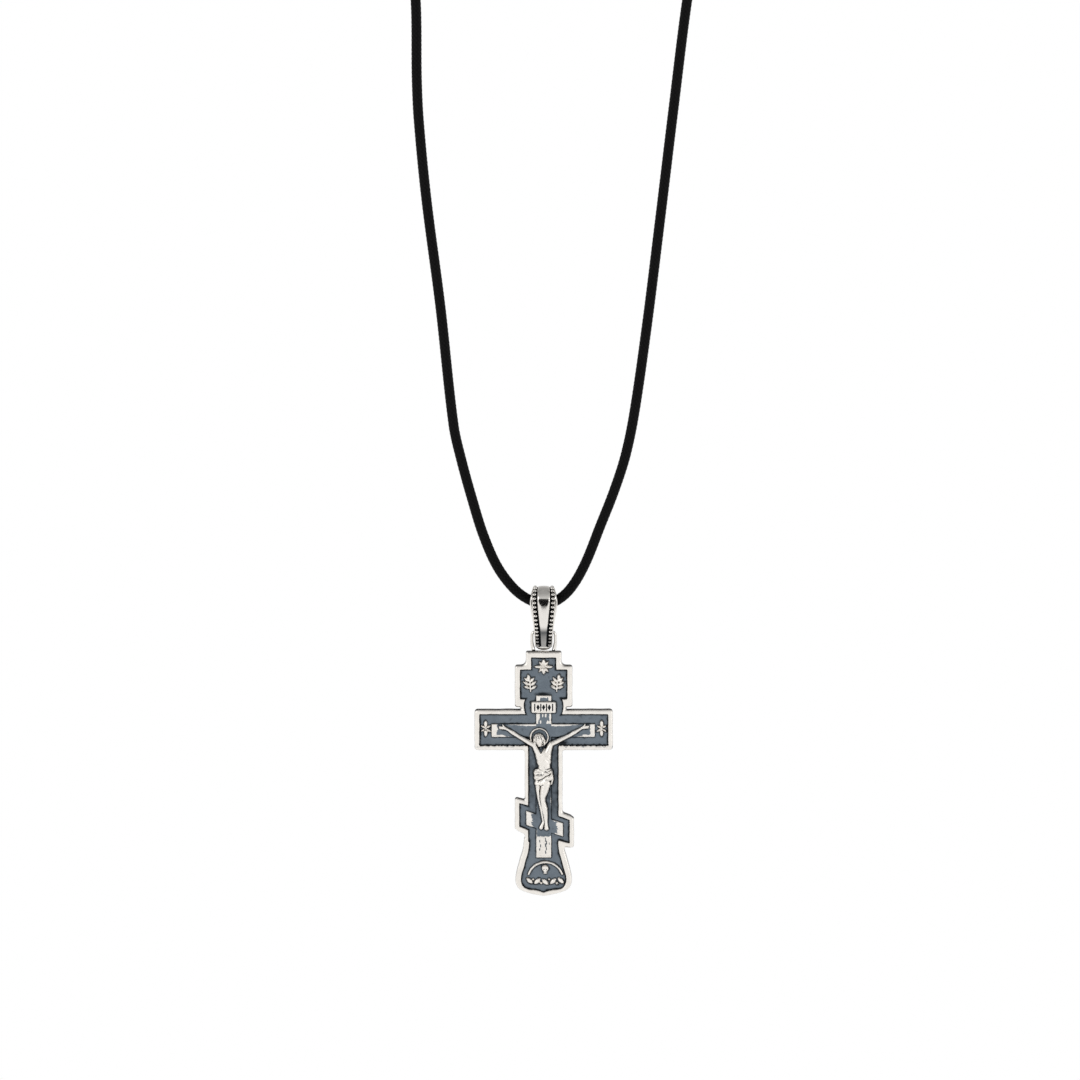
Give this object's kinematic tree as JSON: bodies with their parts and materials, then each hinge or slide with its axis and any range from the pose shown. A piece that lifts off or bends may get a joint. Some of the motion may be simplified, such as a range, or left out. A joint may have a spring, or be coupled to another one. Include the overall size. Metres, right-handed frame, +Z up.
{
  "type": "cross necklace",
  "caption": "Silver crucifix pendant on a beaded bail, hung from a closed loop of black braided cord with a plain barrel clasp.",
  "frame": {"origin": "the middle of the clasp, at the top of the loop, where the cord rests on the nape", "axes": "+Z up along the hanging necklace, front of the cross faces -Y, +X to the right seen from the front"},
  "size_m": [0.0596, 0.0052, 0.2467],
  "materials": {
    "braided_cord": "black silk-like cord, braided over a core",
    "plain_silver": "plain turned silver, softly brushed",
    "polished_silver": "cast silver, polished high places, blackened grooves between beads",
    "oxidised_silver": "cast silver, oxidised blue-grey field, polished border and relief"
  },
  "bodies": {
    "necklace": {"cord": "braided_cord", "clasp": "plain_silver"},
    "bail": {"bail": "polished_silver"},
    "cross": {"cross": "oxidised_silver"}
  },
  "joints": [
    {"name": "bail_swing", "type": "hinge", "parent": "necklace", "child": "bail", "pos_m": [0, 0, -0.198], "axis": [1, 0, 0], "range_deg": [-90, 90]},
    {"name": "cross_swing", "type": "hinge", "parent": "bail", "child": "cross", "pos_m": [0, 0, -0.2028], "axis": [1, 0, 0], "range_deg": [-90, 90]}
  ]
}
